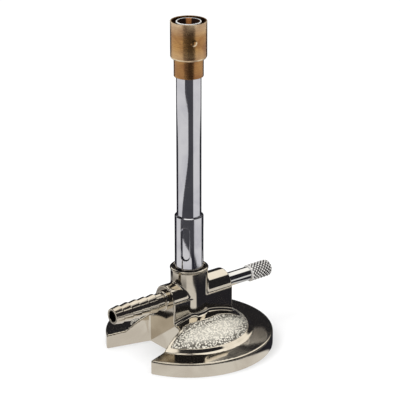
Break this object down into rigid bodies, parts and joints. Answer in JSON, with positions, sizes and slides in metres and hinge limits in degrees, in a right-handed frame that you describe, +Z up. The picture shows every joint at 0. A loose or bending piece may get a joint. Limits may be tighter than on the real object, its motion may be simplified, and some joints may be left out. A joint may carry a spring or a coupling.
{
  "type": "bunsen burner",
  "caption": "Bench gas burner with a notched round foot, hose nipple, needle valve, turning air shutter, upright mixing tube and brass flame stabiliser.",
  "frame": {"origin": "on the mixing tube's axis, in the plane that the foot rests on", "axes": "+Z up along the mixing tube, +X towards the valve knob, -X towards the hose nipple, +Y by the right-hand rule"},
  "size_m": [0.0901, 0.0762, 0.1517],
  "materials": {
    "plated_casting": "nickel plated and polished, with a stippled cast field on the foot",
    "plated_nipple": "nickel plated, bright",
    "jet_brass": "turned",
    "fibre_washer": "red vulcanised fibre",
    "tube_chrome": "polished",
    "shutter_chrome": "polished",
    "stabiliser_brass": "turned, slightly heat darkened",
    "spindle_chrome": "polished",
    "seal_rubber": "satin black",
    "knob_nickel": "diamond knurled, nickel plated"
  },
  "bodies": {
    "root": {"base_casting": "plated_casting", "hose_nipple": "plated_nipple", "gas_jet": "jet_brass", "jet_washer": "fibre_washer", "mixing_tube": "tube_chrome", "flame_stabiliser": "stabiliser_brass"},
    "shutter": {"air_shutter": "shutter_chrome"},
    "valve_seal": {"spindle_o_ring": "seal_rubber"},
    "valve": {"valve_spindle": "spindle_chrome", "valve_knob": "knob_nickel"}
  },
  "joints": [
    {"name": "shutter_turn", "type": "hinge", "parent": "root", "child": "shutter", "pos_m": [0, 0, 0.05], "axis": [0, 0, 1], "continuous": true},
    {"name": "valve_travel", "type": "slide", "parent": "root", "child": "valve_seal", "axis": [1, 0, 0], "range_m": [0, 0.0024]},
    {"name": "valve_turn", "type": "hinge", "parent": "valve_seal", "child": "valve", "pos_m": [0.02, 0, 0.0244], "axis": [1, 0, 0], "range_deg": [0, 1080]}
  ],
  "couplings": [
    {"joint": "valve_turn", "follows": "valve_travel", "rad_per_m": 7854}
  ]
}
